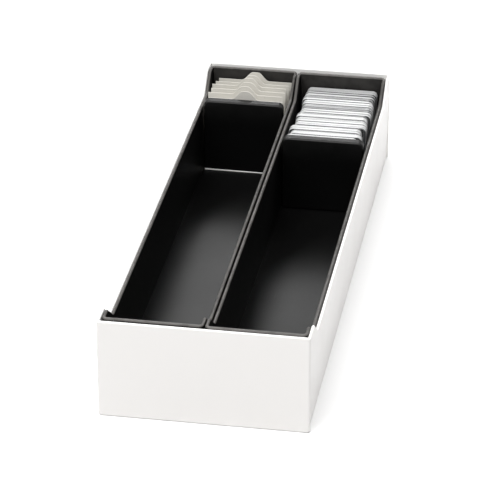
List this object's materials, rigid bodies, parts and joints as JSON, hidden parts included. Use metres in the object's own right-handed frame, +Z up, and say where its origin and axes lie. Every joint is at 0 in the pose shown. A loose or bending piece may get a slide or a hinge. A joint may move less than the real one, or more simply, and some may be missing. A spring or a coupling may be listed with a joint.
{
  "type": "coin capsule box",
  "caption": "Long open storage case with stepped sides, holding lift-out trays with sliding followers, tabbed index cards and square clear coin capsules.",
  "frame": {"origin": "on the ground under the middle of the case", "axes": "+Y along the case from its front panel to its back panel, +X to the right seen from the front, +Z up"},
  "size_m": [0.13, 0.385, 0.0655],
  "materials": {
    "white_case": "satin moulded white plastic",
    "dark_tray": "dark grey moulded plastic, fine texture",
    "dark_follower": "dark grey moulded plastic",
    "card_stock": "matt off-white card",
    "clear_capsule": "clear polished polystyrene"
  },
  "bodies": {
    "case": {"case": "white_case"},
    "left_tray": {"left_tray": "dark_tray"},
    "right_tray": {"right_tray": "dark_tray"},
    "left_follower": {"left_follower": "dark_follower"},
    "right_follower": {"right_follower": "dark_follower"},
    "index_card_1": {"index_card_1": "card_stock"},
    "index_card_2": {"index_card_2": "card_stock"},
    "index_card_3": {"index_card_3": "card_stock"},
    "index_card_4": {"index_card_4": "card_stock"},
    "index_card_5": {"index_card_5": "card_stock"},
    "index_card_6": {"index_card_6": "card_stock"},
    "capsule_01": {"capsule_01_base": "clear_capsule", "capsule_01_lid": "clear_capsule"},
    "capsule_02": {"capsule_02_base": "clear_capsule", "capsule_02_lid": "clear_capsule"},
    "capsule_03": {"capsule_03_base": "clear_capsule", "capsule_03_lid": "clear_capsule"},
    "capsule_04": {"capsule_04_base": "clear_capsule", "capsule_04_lid": "clear_capsule"},
    "capsule_05": {"capsule_05_base": "clear_capsule", "capsule_05_lid": "clear_capsule"},
    "capsule_06": {"capsule_06_base": "clear_capsule", "capsule_06_lid": "clear_capsule"},
    "capsule_07": {"capsule_07_base": "clear_capsule", "capsule_07_lid": "clear_capsule"},
    "capsule_08": {"capsule_08_base": "clear_capsule", "capsule_08_lid": "clear_capsule"},
    "capsule_09": {"capsule_09_base": "clear_capsule", "capsule_09_lid": "clear_capsule"},
    "capsule_10": {"capsule_10_base": "clear_capsule", "capsule_10_lid": "clear_capsule"},
    "capsule_11": {"capsule_11_base": "clear_capsule", "capsule_11_lid": "clear_capsule"},
    "capsule_12": {"capsule_12_base": "clear_capsule", "capsule_12_lid": "clear_capsule"}
  },
  "joints": [
    {"name": "left_tray_lift", "type": "slide", "parent": "case", "child": "left_tray", "axis": [0, 0, 1], "range_m": [0, 0.07]},
    {"name": "right_tray_lift", "type": "slide", "parent": "case", "child": "right_tray", "axis": [0, 0, 1], "range_m": [0, 0.07]},
    {"name": "left_follower_slide", "type": "slide", "parent": "left_tray", "child": "left_follower", "axis": [0, -1, 0], "range_m": [-0.0025, 0.3225]},
    {"name": "right_follower_slide", "type": "slide", "parent": "right_tray", "child": "right_follower", "axis": [0, -1, 0], "range_m": [-0.002, 0.2732]},
    {"name": "index_card_1_lift", "type": "slide", "parent": "left_tray", "child": "index_card_1", "axis": [0, 0, 1], "range_m": [0, 0.07]},
    {"name": "index_card_2_lift", "type": "slide", "parent": "left_tray", "child": "index_card_2", "axis": [0, 0, 1], "range_m": [0, 0.07]},
    {"name": "index_card_3_lift", "type": "slide", "parent": "left_tray", "child": "index_card_3", "axis": [0, 0, 1], "range_m": [0, 0.07]},
    {"name": "index_card_4_lift", "type": "slide", "parent": "left_tray", "child": "index_card_4", "axis": [0, 0, 1], "range_m": [0, 0.07]},
    {"name": "index_card_5_lift", "type": "slide", "parent": "left_tray", "child": "index_card_5", "axis": [0, 0, 1], "range_m": [0, 0.07]},
    {"name": "index_card_6_lift", "type": "slide", "parent": "left_tray", "child": "index_card_6", "axis": [0, 0, 1], "range_m": [0, 0.07]},
    {"name": "capsule_01_lift", "type": "slide", "parent": "right_tray", "child": "capsule_01", "axis": [0, 0, 1], "range_m": [0, 0.07]},
    {"name": "capsule_02_lift", "type": "slide", "parent": "right_tray", "child": "capsule_02", "axis": [0, 0, 1], "range_m": [0, 0.07]},
    {"name": "capsule_03_lift", "type": "slide", "parent": "right_tray", "child": "capsule_03", "axis": [0, 0, 1], "range_m": [0, 0.07]},
    {"name": "capsule_04_lift", "type": "slide", "parent": "right_tray", "child": "capsule_04", "axis": [0, 0, 1], "range_m": [0, 0.07]},
    {"name": "capsule_05_lift", "type": "slide", "parent": "right_tray", "child": "capsule_05", "axis": [0, 0, 1], "range_m": [0, 0.07]},
    {"name": "capsule_06_lift", "type": "slide", "parent": "right_tray", "child": "capsule_06", "axis": [0, 0, 1], "range_m": [0, 0.07]},
    {"name": "capsule_07_lift", "type": "slide", "parent": "right_tray", "child": "capsule_07", "axis": [0, 0, 1], "range_m": [0, 0.07]},
    {"name": "capsule_08_lift", "type": "slide", "parent": "right_tray", "child": "capsule_08", "axis": [0, 0, 1], "range_m": [0, 0.07]},
    {"name": "capsule_09_lift", "type": "slide", "parent": "right_tray", "child": "capsule_09", "axis": [0, 0, 1], "range_m": [0, 0.07]},
    {"name": "capsule_10_lift", "type": "slide", "parent": "right_tray", "child": "capsule_10", "axis": [0, 0, 1], "range_m": [0, 0.07]},
    {"name": "capsule_11_lift", "type": "slide", "parent": "right_tray", "child": "capsule_11", "axis": [0, 0, 1], "range_m": [0, 0.07]},
    {"name": "capsule_12_lift", "type": "slide", "parent": "right_tray", "child": "capsule_12", "axis": [0, 0, 1], "range_m": [0, 0.07]}
  ]
}
